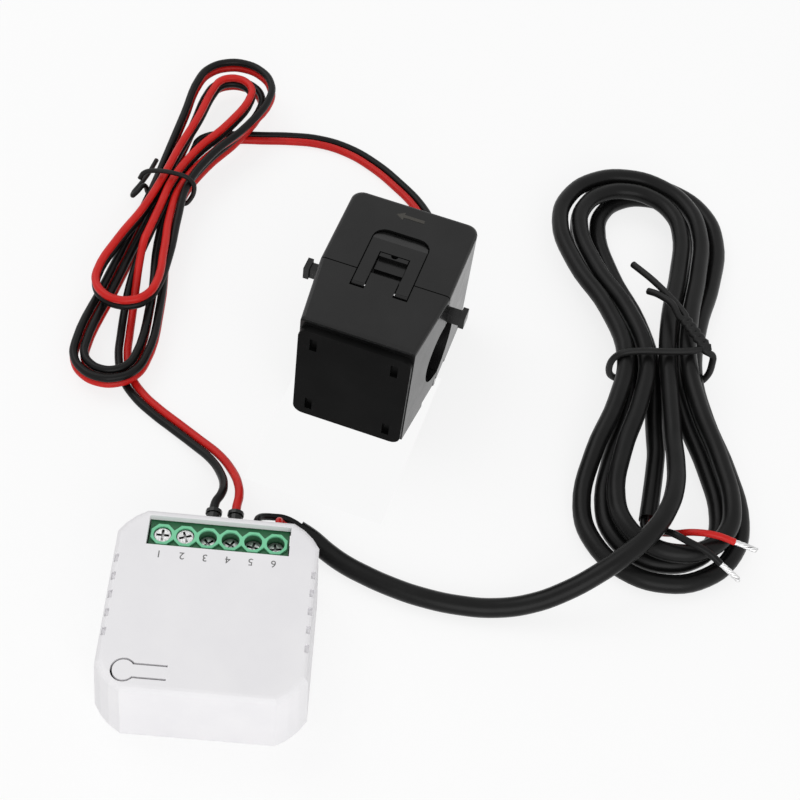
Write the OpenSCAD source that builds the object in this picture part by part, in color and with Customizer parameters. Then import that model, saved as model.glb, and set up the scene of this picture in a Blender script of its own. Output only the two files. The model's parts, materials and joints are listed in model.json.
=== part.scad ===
// In-wall energy monitor: a metering module, a split-core current clamp on a
// twin lead, and a round two-core supply cable. Millimetres, +Z up.
// The origin is the centre of the module's back face, and +Y is its terminal side.

/* [Module case] */
// Width of the module across the terminal row
case_w = 46; // [44:0.5:52]
// Length of the module from the button end to the terminal end
case_l = 46; // [44:0.5:52]
// Height of the module
case_h = 19; // [18:0.5:23]
// Thickness of the cover's walls
case_wall = 1.7; // [1.2:0.1:2.2]
// Length of the cut across the cover's corners, along each side
case_corner = 6.4; // [5:0.1:6.6]
// Rounding of the cover's top edge
case_fillet = 1.5; // [0.8:0.1:1.6]
// How far each side wall leans in towards the top
case_draft = 0.7; // [0.2:0.1:0.8]
// Thickness of the back cover
back_t = 2; // [1.5:0.1:2.6]
// Depth of the step in the side walls beside the terminals
side_step = 0.8; // [0.3:0.1:1]
// Length of one grip pocket in the top edge
grip_l = 2; // [1:0.1:3]
// Width of one grip pocket, across the rounded edge
grip_w = 0.9; // [0.5:0.1:0.9]
// Distance between grip pockets
grip_pitch = 4.5; // [3.5:0.1:5]

/* [Button] */
// Radius of the round button
button_r = 2.3; // [1.8:0.1:2.8]
// Width of the slot round the button
button_slot = 0.45; // [0.3:0.05:0.6]
// Distance from the button's centre to the root of its tongue
tongue_l = 9; // [7:0.5:11]
// Width of the tongue
tongue_w = 2.7; // [2:0.1:3.2]
// Distance of the button's centre from the left wall
button_inset_x = 7; // [6.5:0.5:9]
// Distance of the button's centre from the wall at the button end
button_inset_y = 5.4; // [5:0.1:8]

/* [Terminals] */
// Distance between neighbouring terminals
terminal_pitch = 5; // [5:0.02:5.2]
// Number of terminals
terminals = 6; // [6:1:6]
// Diameter of a screw well
well_d = 4; // [3.9:0.05:4.2]
// Diameter of a screw head
screw_head_d = 3.6; // [3.2:0.1:3.6]
// Height of a screw head
screw_head_h = 1.2; // [0.9:0.1:1.3]
// Diameter of a screw's thread
screw_d = 2.5; // [2:0.1:2.6]
// Diameter of a wire entry
entry_d = 3.4; // [3.1:0.1:3.5]
// How far a screw travels from clamped to open
screw_travel = 1.9; // [1.2:0.1:1.9]
// Thickness of a pressure plate
plate_t = 0.6; // [0.4:0.1:0.6]
// Depth of the window round the wells, below the top face
window_depth = 1.4; // [1.2:0.1:1.6]

/* [Circuit board] */
// Thickness of the circuit board
board_t = 1.6; // [1:0.1:1.8]
// Height of the board's lower face above the back
board_z = 6.4; // [6:0.1:6.6]
// Width of the radio module
radio_w = 18; // [14:0.5:18]
// Length of the radio module
radio_l = 16; // [12:0.5:16]

/* [Clamp] */
// Thickness of the clamp along its bore
clamp_w = 33; // [31:0.5:38]
// Height of the clamp from hinge side to latch side
clamp_h = 34; // [33:0.5:38]
// Length of the fixed half
fixed_l = 25; // [24:0.5:30]
// Length of the jaw, without its end cap
jaw_l = 19.7; // [19:0.5:24]
// Thickness of the jaw at its free end
jaw_end_w = 28; // [26:0.5:31]
// Diameter of the bore for the conductor
bore_d = 18; // [15:0.5:19]
// Height of the clamp left below the bore
bore_low = 5.6; // [5.6:0.1:7]
// Thickness of the shells
clamp_wall = 1.3; // [1:0.1:1.5]
// Thickness of the wall round the bore
bore_wall = 1; // [0.8:0.1:1.1]
// Corner radius of the fixed half's back
clamp_corner = 3; // [2:0.5:4]
// Rounding of the clamp's upper edges
clamp_fillet = 1; // [0.5:0.1:1.2]
// Thickness of the jaw's end cap
cap_t = 1.8; // [1.4:0.1:2.4]
// Depth of the hinge channel under the clamp
hinge_relief = 1.5; // [1.5:0.1:1.8]
// Diameter of a hinge pin
pin_d = 1.5; // [1.2:0.1:1.6]
// Width of the latch plate
latch_w = 14; // [12:0.5:15]
// Thickness of the latch plate
latch_t = 1.4; // [1.2:0.1:1.5]
// Length of the latch beyond its pivot
latch_l = 18.5; // [17:0.5:20]
// Distance from the core to the clamp's sides
core_side = 6.5; // [6.5:0.5:8.5]
// Thickness of the core
core_t = 1.5; // [1.2:0.1:1.6]

/* [Cords] */
// Diameter of one conductor of the twin lead
lead_d = 1.9; // [1.6:0.1:2]
// Distance between the twin lead's conductors
lead_pair = 2.2; // [2.2:0.05:2.4]
// Diameter of the supply cable
cable_d = 4.6; // [4:0.1:4.6]
// Diameter of one core of the supply cable
core_d = 1.7; // [1.4:0.1:1.8]
// Length of a bared core tip
tip_l = 5; // [3:0.5:8]
// Diameter of a ferrule's collar
collar_d = 3.2; // [2.6:0.1:3.4]
// Length of a twin lead ferrule's collar
collar_l = 6; // [5.6:0.2:8]
// Length of a supply core ferrule's collar
short_collar_l = 3.5; // [3:0.1:4]
// Thickness of the tie round the lead
lead_tie_d = 1.3; // [1:0.1:1.4]
// Thickness of the tie round the cable
cable_tie_d = 1.4; // [1:0.1:1.5]

/* [Lead hank] */
// Reach of the lead's outermost far loop from the tie
lead_far_reach = 50; // [48:1:56]
// Reach of the lead's outermost near loop from the tie
lead_near_reach = 66; // [64:1:70]
// Half width of the lead's outermost far loop
lead_far_r = 10.5; // [10.5:0.5:12]
// Half width of the lead's outermost near loop
lead_near_r = 9; // [9:0.5:10]
// Step between neighbouring loops of the lead
lead_step = 2.6; // [2.6:0.1:2.8]

/* [Cable hank] */
// Reach of the cable's outermost far loop from the tie
cable_far_reach = 72; // [68:1:76]
// Reach of the cable's outermost near loop from the tie
cable_near_reach = 62; // [61:1:63]
// Half width of the cable's outermost far loop
cable_far_r = 22; // [22:0.5:24]
// Half width of the cable's outermost near loop
cable_near_r = 19.5; // [19.5:0.5:20.5]
// Step between neighbouring loops of the cable
cable_step = 5.4; // [5.4:0.1:5.6]

/* [Hidden] */
$fn = 48;
eps = 0.02;
fit_gap = 0.1;
run_gap = 0.04;
part_gap = 0.15;
swing_gap = 0.3;

// Module levels and places
ceiling_z = case_h - case_wall;
inner_w = case_w - 2 * case_wall;
inner_l = case_l - 2 * case_wall;
board_top = board_z + board_t;
block_top = case_h - window_depth;
block_shoulder = block_top - 0.7;
window_w = terminals * terminal_pitch + 1.3;
window_l = 7.4;
window_y = case_l / 2 - 6.2;
block_w = terminals * terminal_pitch + 0.8;
block_near_y = window_y - 4.2;
block_far_y = case_l / 2 - case_wall - 0.3;
nose_far_y = case_l / 2 - 0.4;
nose_h = 6.2;
button_x = button_inset_x - case_w / 2;
button_y = button_inset_y - case_l / 2;
button_t = case_wall - 0.3;
root_gap = 0.06;
radio_x = inner_w / 2 - radio_w / 2 - 6.3;
radio_y = radio_l / 2 + 4.3 - inner_l / 2;
chip_far_y = button_y + 14;
transformer_w = 9;
transformer_h = 7.6;
transformer_low = [5 - case_w / 2, chip_far_y + 1.6, board_top];
transformer_high = [transformer_low[0] + transformer_w, block_near_y - 4.6, board_top + transformer_h];

// Terminal levels, from the board up
cage_z = board_top + 0.7;
cage_wall = 0.5;
cage_w = 4;
cage_l = 5;
cage_roof = 0.6;
chamber_z = cage_z + cage_wall;
chamber_h = 4;
cage_h = cage_wall + chamber_h + cage_roof;
wire_d = 1.2;
wire_z = chamber_z + wire_d / 2 + 0.1;
entry_z = chamber_z + entry_d / 2;
plate_down_z = wire_z + wire_d / 2 + 0.05;
head_down_z = cage_z + cage_h + 0.2;
wired_from = 2;

// Clamp places, in the clamp's own frame: x along the bore, y away from the jaw
clamp_place = [32, 84, 0];
clamp_turn = -16;
bore_r = bore_d / 2;
bore_z = bore_low + bore_r;
hinge_z = 1.6;
knuckle_r = 1.5;
knuckle_w = 2.6;
hinge_nick = 0.6;
core_gap = 0.15;
core_w = clamp_w - 2 * core_side;
latch_well = latch_t + swing_gap + 0.15;
leg_low_z = bore_z - bore_r - bore_wall - core_gap - core_t;
leg_high_z = clamp_h - latch_well - clamp_wall - core_gap - core_t;
core_back_y = fixed_l - clamp_wall - 1.6 - core_t;
core_front_y = 4.3 - jaw_l;
latch_pivot_y = -4;
latch_pivot_z = clamp_h - 0.8;
latch_barrel_r = 0.75;
latch_pin_d = 0.7;
latch_far_y = latch_pivot_y + latch_l;
latch_leg_x = 3.9;
latch_bar_y = 7.3;
catch_nose = 1.2;
catch_step = 1;
tab_z = bore_z + bore_r + 1.6;
grommet_x = 2;
grommet_z = 8;
grommet_w = 6;
grommet_h = 4;
grommet_out = 2;
lead_in = 0.6;

// Routes of the free stretches, chosen points on the floor the parts lie on.
// Twin lead: x, y, z, half the spread of the pair, and the pair's roll in degrees.
lead_feed_route = [
    [-31, 105, 6.2, 1.1, 300], [-31.5, 98.5, 4.2, 1.1, 330], [-31.6, 92, 2.4, 1.1, 350],
    [-31.5, 85, 1.2, 1.1, 360], [-31, 78, 1, 1.1, 360], [-29, 71.5, 1, 1.1, 360],
    [-25.5, 66.5, 1, 1.1, 360], [-20.5, 62, 1, 1.1, 360], [-15, 57.8, 1.2, 1.1, 360],
    [-9.6, 53.3, 2, 1.1, 360], [-4.6, 48.5, 3.4, 1.2, 360], [-1.2, 43, 5.4, 1.4, 360],
    [0.4, 38, 7.6, 1.7, 360], [0.6, 34, 9.2, 2.1, 360], [0, 31, wire_z, 2.5, 360], [0, 26, wire_z, 2.5, 360]];
lead_tail_route = [
    [44.6, 123.5, 5, 1.1, 0], [44.4, 132, 2.4, 1.1, 0], [41, 140.6, 1.2, 1.1, 0], [35, 148, 1, 1.1, 0],
    [28, 154.6, 1, 1.1, 0], [20, 159.6, 1, 1.1, 0], [12, 161.8, 1, 1.1, 0], [4, 161.8, 1, 1.1, 0],
    [-4, 160.9, 1, 1.1, 0], [-10.5, 160.2, 1, 1.1, 0], [-15.5, 159.2, 1.1, 1.1, 15],
    [-18.8, 157.4, 1.6, 1.1, 50]];
// Supply cable, from its jacket behind the module to the hank
cable_feed_route = [
    [17, 29.4, 4.4], [20.4, 27.8, 3.5], [24, 25.3, 2.7], [28.2, 22.6, 2.4], [33, 20.2, 2.4], [39.5, 17.6, 2.4],
    [46.5, 15.6, 2.4], [55.5, 14.3, 2.4], [64, 14.3, 2.7], [72, 15.4, 4.4],
    [79.5, 17.7, 7.4], [86.5, 21.2, 10.6], [93, 26, 12.6], [98.8, 32, 13.2], [103, 39, 13],
    [105.4, 46.5, 12], [106.3, 54.5, 10.6]];
cable_end_route = [[103.2, 58.5, 2.4], [101.8, 49.5, 2.6], [100.5, 42, 3]];
// Cores from terminals five and six to the jacket
core_in_a = [[7.5, 24.4, wire_z], [7.5, 26.8, wire_z], [7.6, 28, 9.5], [8.1, 29.2, 8.6],
    [9.2, 30.2, 7.5], [11, 31, 6.4], [13.4, 31.5, 5.5]];
core_in_b = [[12.5, 24.4, wire_z], [12.5, 26.8, wire_z], [12.5, 28, 9.4], [12.6, 28.9, 8.3],
    [12.9, 29.3, 7], [13.7, 29.4, 5.8]];
// Bare cores at the far end
core_out_a = [[102.4, 38.4, 4], [105.2, 36.1, 7.2], [109.4, 34.7, 10.6], [114.4, 33.8, 11.6],
    [119, 33.2, 10.4]];
core_out_b = [[100.3, 37.8, 3.8], [101.2, 36.3, 7.2], [103.6, 34, 10.7], [107.6, 31.2, 11.8], [112, 29.1, 11.4],
    [115.4, 27.2, 9.8]];

// Hanks: place, turn, places across the waist, and what each half turn does.
// Even half turns go round a hank's own far end and odd ones round its near end.
// The lead's hank is turned about, so that its far end points at the module.
lead_hank_place = [-27, 133, 0];
lead_hank_turn = 169;
lead_hank_side = -1;
lead_z = lead_pair / 2 + lead_d / 2 + 0.05;
lead_layer = 2 * lead_pair + 0.2;
lead_waists = lead_step * [-0.46, 0.58, -1.5, 1.62, -1.77, 0.54, -0.5];
lead_steps = [1, 1, 0, 0, 0.5, 2];
lead_layers = [[0, 0, 0], [0, 0, 0], [0, 0, 0], [0, 1, 1], [1, 1, 1], [1, 1, 1]];
lead_leans = [-4.2, -6.5, -4.2, -6.5, -1.5, -6.5];
lead_short = [0, 0, 0, 0, 20, 1.5];
lead_rolls = [90, 90, 90, 90, 270, 270];
lead_lift = 1.7;
lead_lobe_lift = 2.4;
cable_hank_place = [105, 87, 0];
cable_hank_turn = 0;
cable_hank_side = -1;
cable_z = cable_d / 2 + 0.1;
cable_layer = cable_d + 0.6;
cable_waists = cable_step * [-0.25, 0.75, -1.25, 1.75, -1.75, 1.25, -0.75, 0.25];
cable_steps = [1.5, 1, 0.5, 0, 0.5, 1, 1.5];
cable_layers = [[0, 0, 0], [0, 0, 0], [0, 0, 0], [0, 0, 1], [1, 1, 1], [1, 1, 1], [1, 1, 1]];
cable_leans = [0, -1, 0, -1, -6, 1, -6];
cable_short = [0, 0, 0, 0, 3, 0, 3];
cable_lift = 1.9;
run_steps = 3;
arc_steps = 6;
hank_tail = 20;
tie_gap = 0.3;

// Points of a rounded rectangle centred on the origin
function rounded_rect(w, l, r, n = 6) = [
    for (q = [0 : 3], i = [0 : n])
        let (a = 90 * q + 90 * i / n, sx = (q == 0 || q == 3) ? 1 : -1, sy = q < 2 ? 1 : -1)
            [sx * (w / 2 - r) + r * cos(a), sy * (l / 2 - r) + r * sin(a)]];

// Points of a rectangle with its corners cut off along shallow arcs
corner_span = 36;
function cut_rect(w, l, c, n = 3) =
    let (r = c / sqrt(2) / sin(corner_span / 2), k = c / 2 + r * cos(corner_span / 2) / sqrt(2))
        [for (q = [0 : 3], i = [0 : n])
            let (a = 45 + 90 * q + corner_span * (i / n - 0.5), sx = (q == 0 || q == 3) ? 1 : -1, sy = q < 2 ? 1 : -1)
                [sx * (w / 2 - k) + r * cos(a), sy * (l / 2 - k) + r * sin(a)]];
// The module's outline, drawn in by a margin
function case_plan(inset) =
    cut_rect(case_w - 2 * inset, case_l - 2 * inset, case_corner - (2 - sqrt(2)) * inset);

// Sweeping a tube along points, each ring square to the path
function unit(v) = v / norm(v);
function tangent(p, i) = unit(p[min(i + 1, len(p) - 1)] - p[max(i - 1, 0)]);
function side_of(t) = unit(cross(t, [0, 0, 1]));
function ring(p, i, r, n) =
    let (t = tangent(p, i), s = side_of(t), u = cross(s, t))
        [for (k = [0 : n - 1]) p[i] + r * (cos(360 * (k + 0.5) / n) * s + sin(360 * (k + 0.5) / n) * u)];
function ring_faces(m, n) = [
    for (i = [0 : m - 2], k = [0 : n - 1])
        let (a = i * n + k, b = i * n + (k + 1) % n, c = a + n, d = b + n)
            each [[a, b, d], [a, d, c]]];
function cap_faces(m, n) = [
    for (k = [1 : n - 2]) each [[0, k + 1, k], [(m - 1) * n, (m - 1) * n + k, (m - 1) * n + k + 1]]];
module tube(p, d, n) {
    points = [for (i = [0 : len(p) - 1]) each ring(p, i, d / 2, n)];
    polyhedron(points, concat(ring_faces(len(p), n), cap_faces(len(p), n)));
}

// One conductor of a pair: rows of x, y, z, half spread and roll; side is 1 or -1
function row_point(row) = [row[0], row[1], row[2]];
function pair_path(rows, side) =
    let (p = [for (row = rows) row_point(row)])
        [for (i = [0 : len(p) - 1])
            let (t = tangent(p, i), s = side_of(t), u = cross(s, t), a = rows[i][4])
                p[i] + side * rows[i][3] * (cos(a) * s + sin(a) * u)];

// Hank loops: a half turn runs out from the waist, round an end and back
function ease(f) = (1 - cos(180 * f)) / 2;
function mix(a, b, f) = a + (b - a) * f;
// One row: across, along, height and roll. h holds the hank's own sizes:
// 0 places across the waist, 1 step, 2 far radius, 3 far reach, 4 near radius, 5 near reach, 6 first side,
// 7 steps, 8 layers, 9 leans, 10 shortenings, 11 rolls, 12 base, 13 layer, 14 waist lift, 15 lift at the ends
function half_turn_row(h, j, i) =
    let (far = j % 2 == 0, dir = far ? 1 : -1, side = h[6] * dir, k = h[7][j],
         r = (far ? h[2] : h[4]) - k * h[1],
         along = (far ? h[3] : h[5]) - k * h[1] - h[10][j] - r,
         out = i < run_steps, arc = !out && i <= run_steps + arc_steps,
         f = out ? i / run_steps : arc ? 1 : (2 * run_steps + arc_steps - i) / run_steps,
         a = 180 * (i - run_steps) / arc_steps,
         across = arc ? side * r * cos(a) + h[9][j]
             : mix(h[0][out ? j : j + 1], (out ? side : -side) * r + h[9][j], ease(f)),
         level = out ? mix(h[8][j][0], h[8][j][1], f) : arc ? h[8][j][1] : mix(h[8][j][2], h[8][j][1], f * f),
         roll_end = h[11][min(j + 1, len(h[11]) - 1)],
         roll = out || arc ? h[11][j] : mix(mix(h[11][j], roll_end, 1 / 3), h[11][j], f),
         roll_in = j == 0 || !out ? roll : mix(mix(h[11][j - 1], h[11][j], 1 / 3), h[11][j], f))
        [across,
         dir * (arc ? along + r * sin(a) : along * f),
         h[12] + level * h[13] + h[14] * (1 - ease(f)) + h[15] * ease(f),
         roll_in];
function hank_rows(h) =
    let (n = len(h[7]), turn = 2 * run_steps + arc_steps, first = h[0][0], last = h[0][n],
         last_dir = (n - 1) % 2 == 0 ? -1 : 1, low = h[12] + h[8][0][0] * h[13],
         high = h[12] + h[8][n - 1][2] * h[13] + h[14])
        concat(
            [[first, -hank_tail, low, h[11][0]], [first, -hank_tail * 0.8, low, h[11][0]],
             [first, -hank_tail / 2, low + h[14] / 2, h[11][0]]],
            [for (j = [0 : n - 1], i = [0 : turn - 1]) half_turn_row(h, j, i)],
            [half_turn_row(h, n - 1, turn)],
            [for (f = [0.5, 0.8, 1]) [last, last_dir * hank_tail * f, high, h[11][n - 1]]]);
function placed(rows, place, turn) = [
    for (r = rows) [place[0] + r[0] * cos(turn) - r[1] * sin(turn),
                    place[1] + r[0] * sin(turn) + r[1] * cos(turn), place[2] + r[2]]];

// Least gap between points of one tube that lie well apart along it
function dense(p, n) = [for (i = [0 : len(p) - 2], k = [0 : n - 1]) mix(p[i], p[i + 1], k / n)];
function least_gap(p, d, skip) =
    min([for (i = [0 : len(p) - 1 - skip], j = [i + skip : len(p) - 1]) norm(p[i] - p[j])]) - d;
function path_length(p, i = 0) = i >= len(p) - 1 ? 0 : norm(p[i + 1] - p[i]) + path_length(p, i + 1);

lead_hank = [lead_waists, lead_step, lead_near_r, lead_near_reach, lead_far_r, lead_far_reach,
    lead_hank_side, lead_steps, lead_layers, lead_leans, lead_short, lead_rolls,
    lead_z, lead_layer, lead_lift, lead_lobe_lift];
cable_hank = [cable_waists, cable_step, cable_far_r, cable_far_reach, cable_near_r, cable_near_reach,
    cable_hank_side, cable_steps, cable_layers, cable_leans, cable_short, [for (s = cable_steps) 0],
    cable_z, cable_layer, cable_lift, 0];
lead_hank_rows = hank_rows(lead_hank);
lead_hank_points = placed(lead_hank_rows, lead_hank_place, lead_hank_turn);
lead_hank_pairs = [for (i = [0 : len(lead_hank_points) - 1])
    concat(lead_hank_points[i], [lead_pair / 2, lead_hank_rows[i][3]])];
cable_hank_points = placed(hank_rows(cable_hank), cable_hank_place, cable_hank_turn);
// A row or point beyond an end, straight on, so that two stretches meet square
function beyond(end, before, d) = end + d * unit(end - before);
function row_beyond(rows, i, j) =
    concat(beyond(row_point(rows[i]), row_point(rows[j]), lead_d), [rows[i][3], rows[i][4]]);
lead_last = len(lead_hank_pairs) - 1;
cable_last = len(cable_hank_points) - 1;
lead_tail_rows = concat(clamp_entry_rows(), lead_tail_route,
    [row_beyond(lead_hank_pairs, 0, 1), lead_hank_pairs[0]]);
lead_feed_rows = concat([lead_hank_pairs[lead_last], row_beyond(lead_hank_pairs, lead_last, lead_last - 1)],
    lead_feed_route);
cable_feed_points = concat(cable_feed_route,
    [beyond(cable_hank_points[cable_last], cable_hank_points[cable_last - 1], cable_d),
     cable_hank_points[cable_last]]);
cable_end_points = concat([cable_hank_points[0], beyond(cable_hank_points[0], cable_hank_points[1], cable_d)],
    cable_end_route);
black = 1;
red = -1;

echo(lead_gap_black = least_gap(dense(pair_path(lead_hank_pairs, black), 3), lead_d, 12));
echo(lead_gap_red = least_gap(dense(pair_path(lead_hank_pairs, red), 3), lead_d, 12));
echo(cable_gap = least_gap(dense(cable_hank_points, 3), cable_d, 12));
echo(lead_length = path_length([for (r = lead_feed_rows) row_point(r)]) + path_length(lead_hank_points)
    + path_length([for (r = lead_tail_rows) row_point(r)]));
echo(cable_length = path_length(cable_feed_points) + path_length(cable_hank_points) + path_length(cable_end_points));

// Where the twin lead turns into the clamp's grommet
function clamp_point(p) = [
    clamp_place[0] + p[0] * cos(clamp_turn) - p[1] * sin(clamp_turn),
    clamp_place[1] + p[0] * sin(clamp_turn) + p[1] * cos(clamp_turn), p[2]];
function clamp_entry_rows() = [
    for (y = [fixed_l + lead_in, fixed_l + grommet_out + 2, fixed_l + grommet_out + 6])
        concat(clamp_point([grommet_x, y, grommet_z - (y > fixed_l + 5 ? 0.8 : 0)]), [lead_pair / 2, 0])];
module at_clamp() { translate(clamp_place) rotate([0, 0, clamp_turn]) children(); }

function terminal_x(i) = (i - (terminals - 1) / 2) * terminal_pitch;
function is_wired(i) = i >= wired_from;
// Height of a screw's rest place above the clamped place
function screw_rest(i) = is_wired(i) ? 0 : screw_travel;

// A box from its low corner to its high corner
module block(low, high) { translate(low) cube(high - low); }

module slab(points, z, t) {
    translate([0, 0, z]) linear_extrude(t) polygon(points);
}

module cover_body() {
    hull() {
        slab(case_plan(0), 0, eps);
        for (a = [0 : 22.5 : 90])
            slab(case_plan(case_draft + case_fillet * (1 - cos(a))),
                case_h - case_fillet * (1 - sin(a)) - eps, eps);
    }
}

// Outline of the keyhole slot, grown by a margin
module keyhole(grow) {
    circle(button_r + grow);
    translate([0, -tongue_w / 2 - grow]) square([tongue_l, tongue_w + 2 * grow]);
}

module front_cover() color("whitesmoke") difference() {
    cover_body();
    slab(case_plan(case_wall), -1, ceiling_z + 1);
    translate([0, window_y, ceiling_z - 1])
        linear_extrude(case_wall + 2) square([window_w, window_l], center = true);
    block([-block_w / 2 - 0.2, block_far_y - 1, board_top - 0.2],
        [block_w / 2 + 0.2, case_l / 2 + 1, board_top + nose_h + 0.2]);
    translate([button_x, button_y, ceiling_z - 1]) linear_extrude(case_wall + 2) keyhole(button_slot);
    for (s = [-1, 1]) {
        block([s > 0 ? case_w / 2 - side_step : -case_w / 2 - 1, case_l / 2 - 10.5, -1],
            [s > 0 ? case_w / 2 + 1 : side_step - case_w / 2, case_l / 2 + 1, case_h + 1]);
        for (i = [0 : 4])
            translate([s * (case_w / 2 - grip_inset), grip_pitch * (2 - i), case_h])
                cube([grip_w, grip_l, 2 * grip_depth], center = true);
    }
}

module rear_cover() color("white") {
    slab(case_plan(case_wall + fit_gap), 0, back_t);
    for (x = [-1, 1], y = [-1, 1])
        translate([x * (inner_w / 2 - 4.6), y * (inner_l / 2 - 4.6), back_t - eps])
            cylinder(d = 4.4, h = board_z - back_t + eps, $fn = 12);
}

// The button is a tongue in the cover: its root bends and its stem works the switch
module button_tongue() color("whitesmoke") translate([button_x, button_y, 0]) {
    translate([0, 0, case_h - button_t]) linear_extrude(button_t) difference() {
        keyhole(0);
        translate([tongue_l - root_gap, -tongue_w]) square([1, 2 * tongue_w]);
    }
    translate([0, 0, stem_z]) cylinder(d = 2, h = case_h - button_t - stem_z + eps);
}
grip_inset = case_draft + case_fillet - 0.6;
grip_depth = 0.9;
switch_w = 4.6;
switch_h = 3.6;
plunger_top = ceiling_z - 2;
stem_z = plunger_top + 0.06;

module main_board() color("darkgreen")
    slab(case_plan(case_wall + 0.4), board_z, board_t);

module tact_switch() color("dimgray") translate([button_x, button_y, board_top]) difference() {
    rotate([0, 0, 45]) translate([-switch_w / 2, -switch_w / 2, 0]) cube([switch_w, switch_w, switch_h]);
    translate([0, 0, 1]) cylinder(d = 3.5 + 2 * run_gap, h = switch_h);
}

module tact_plunger() color("black") translate([button_x, button_y, board_top + 1.7])
    cylinder(d = 3.5, h = plunger_top - board_top - 1.7);

module terminal_block() color("seagreen") difference() {
    union() {
        block([-block_w / 2, block_near_y, board_top], [block_w / 2, block_far_y, block_shoulder]);
        block([-block_w / 2, block_far_y - eps, board_top], [block_w / 2, nose_far_y, board_top + nose_h]);
        for (i = [0 : terminals - 1])
            translate([terminal_x(i), window_y, block_shoulder - eps]) rotate([0, 0, 22.5])
                cylinder(d = (terminal_pitch + 0.1) / cos(22.5), h = block_top - block_shoulder + eps, $fn = 8);
    }
    for (i = [0 : terminals - 1]) {
        x = terminal_x(i);
        block([x - cage_w / 2 - fit_gap, window_y - cage_l / 2 - fit_gap, cage_z - fit_gap],
            [x + cage_w / 2 + fit_gap, window_y + cage_l / 2 + fit_gap, cage_z + cage_h + fit_gap]);
        translate([x, window_y, cage_z + cage_h]) cylinder(d = well_d, h = block_top);
        translate([x, window_y, entry_z]) rotate([-90, 0, 0])
            cylinder(d = entry_d, h = case_l / 2, $fn = is_wired(i) ? 12 : 48);
    }
}

module terminal_cages() color("silver") for (i = [0 : terminals - 1]) translate([terminal_x(i), window_y, 0])
    difference() {
        block([-cage_w / 2, -cage_l / 2, cage_z], [cage_w / 2, cage_l / 2, cage_z + cage_h]);
        block([cage_wall - cage_w / 2, -cage_l, chamber_z], [cage_w / 2 - cage_wall, cage_l, chamber_z + chamber_h]);
        translate([0, 0, chamber_z]) cylinder(d = screw_d + 2 * run_gap, h = cage_h);
    }

module terminal_screw(i) color("gainsboro") translate([terminal_x(i), window_y, screw_rest(i)]) difference() {
    union() {
        translate([0, 0, head_down_z]) cylinder(d = screw_head_d, h = screw_head_h);
        translate([0, 0, plate_down_z + plate_t + run_gap])
            cylinder(d = screw_d, h = head_down_z - plate_down_z - plate_t);
    }
    for (a = [0, 90]) rotate([0, 0, a + 20 * i])
        translate([0, 0, head_down_z + screw_head_h]) cube([screw_head_d * 0.78, 0.55, 1.2], center = true);
}

module pressure_plate(i) color("silver") translate([terminal_x(i), window_y, plate_down_z + screw_rest(i)])
    block([fit_gap + cage_wall - cage_w / 2, 0.4 - cage_l / 2, 0],
        [cage_w / 2 - cage_wall - fit_gap, cage_l / 2 - 0.4, plate_t]);

module radio_module() color("silver") translate([radio_x, radio_y, board_top]) {
    block([-radio_w / 2, -radio_l / 2, 0], [radio_w / 2, radio_l / 2, 0.8]);
    block([1 - radio_w / 2, 1 - radio_l / 2, 0.8], [radio_w / 6 + 1, radio_l / 2 - 1, 3]);
}

module power_transformer() color("goldenrod") difference() {
    block(transformer_low, transformer_high);
    middle = (transformer_low + transformer_high) / 2;
    for (s = [-1, 1]) translate(middle + [s * transformer_w / 2, 0, 0])
        cube([2, 0.6 * (transformer_high[1] - transformer_low[1]), transformer_h / 2], center = true);
}

module bulk_capacitors() color("midnightblue") for (p = [[-4.5, 5.5], [3.5, 5.5]])
    translate([p[0], p[1], board_top]) cylinder(d = 6.3, h = 7.4, $fn = 12);

module fuse_resistor() color("tan") translate([17.2, 1, board_top + 1.4]) rotate([90, 0, 0])
    cylinder(d = 2.8, h = 8, center = true);

module varistor() color("royalblue") translate([12, 7.2, board_top + 3.6]) rotate([90, 0, 0])
    cylinder(d = 7.2, h = 3, center = true);

chips = [[button_x + 6, button_y + 5, 5, 4], [button_x + 7.5, chip_far_y - 2, 7, 4]];
module metering_chips() color("black") for (p = chips)
    translate([p[0] - p[2] / 2, p[1] - p[3] / 2, board_top]) cube([p[2], p[3], 1.6]);

// Plan of the jaw: a wedge that narrows towards its free end
module jaw_plan(inset, from) {
    near = -jaw_l + inset;
    slope = (clamp_w - jaw_end_w) / 2 / (jaw_l + cap_t);
    w_from = clamp_w / 2 + slope * from - inset;
    w_near = clamp_w / 2 + slope * near - inset;
    polygon([[-w_from, from], [w_from, from], [w_near, near], [-w_near, near]]);
}

module bore_cylinder(r) {
    translate([0, 0, bore_z]) rotate([0, 90, 0]) cylinder(r = r, h = 3 * clamp_w, center = true);
}
// The hidden outside of the bore's wall has flat facets
module bore_sleeve() {
    translate([0, 0, bore_z]) rotate([0, 90, 0]) rotate([0, 0, 15])
        cylinder(r = (bore_r + bore_wall) / cos(15), h = 3 * clamp_w, center = true, $fn = 12);
}

// Knuckles of one half at both ends of the hinge; outer ones belong to the fixed half
function knuckle_x(outer) = clamp_w / 2 - knuckle_w * (outer ? 0.5 : 1.5) - (outer ? 0.1 : 0.1 + swing_gap);
module knuckles(outer, r, extra) {
    for (s = [-1, 1]) translate([s * knuckle_x(outer), 0, hinge_z]) rotate([0, 90, 0])
        cylinder(r = r, h = knuckle_w + 2 * extra, center = true);
}
module hinge_bore() {
    for (s = [-1, 1]) translate([s * (clamp_w / 2 - knuckle_w), 0, hinge_z]) rotate([0, 90, 0])
        cylinder(d = pin_d + 2 * run_gap, h = 4 * knuckle_w, center = true);
}

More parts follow.
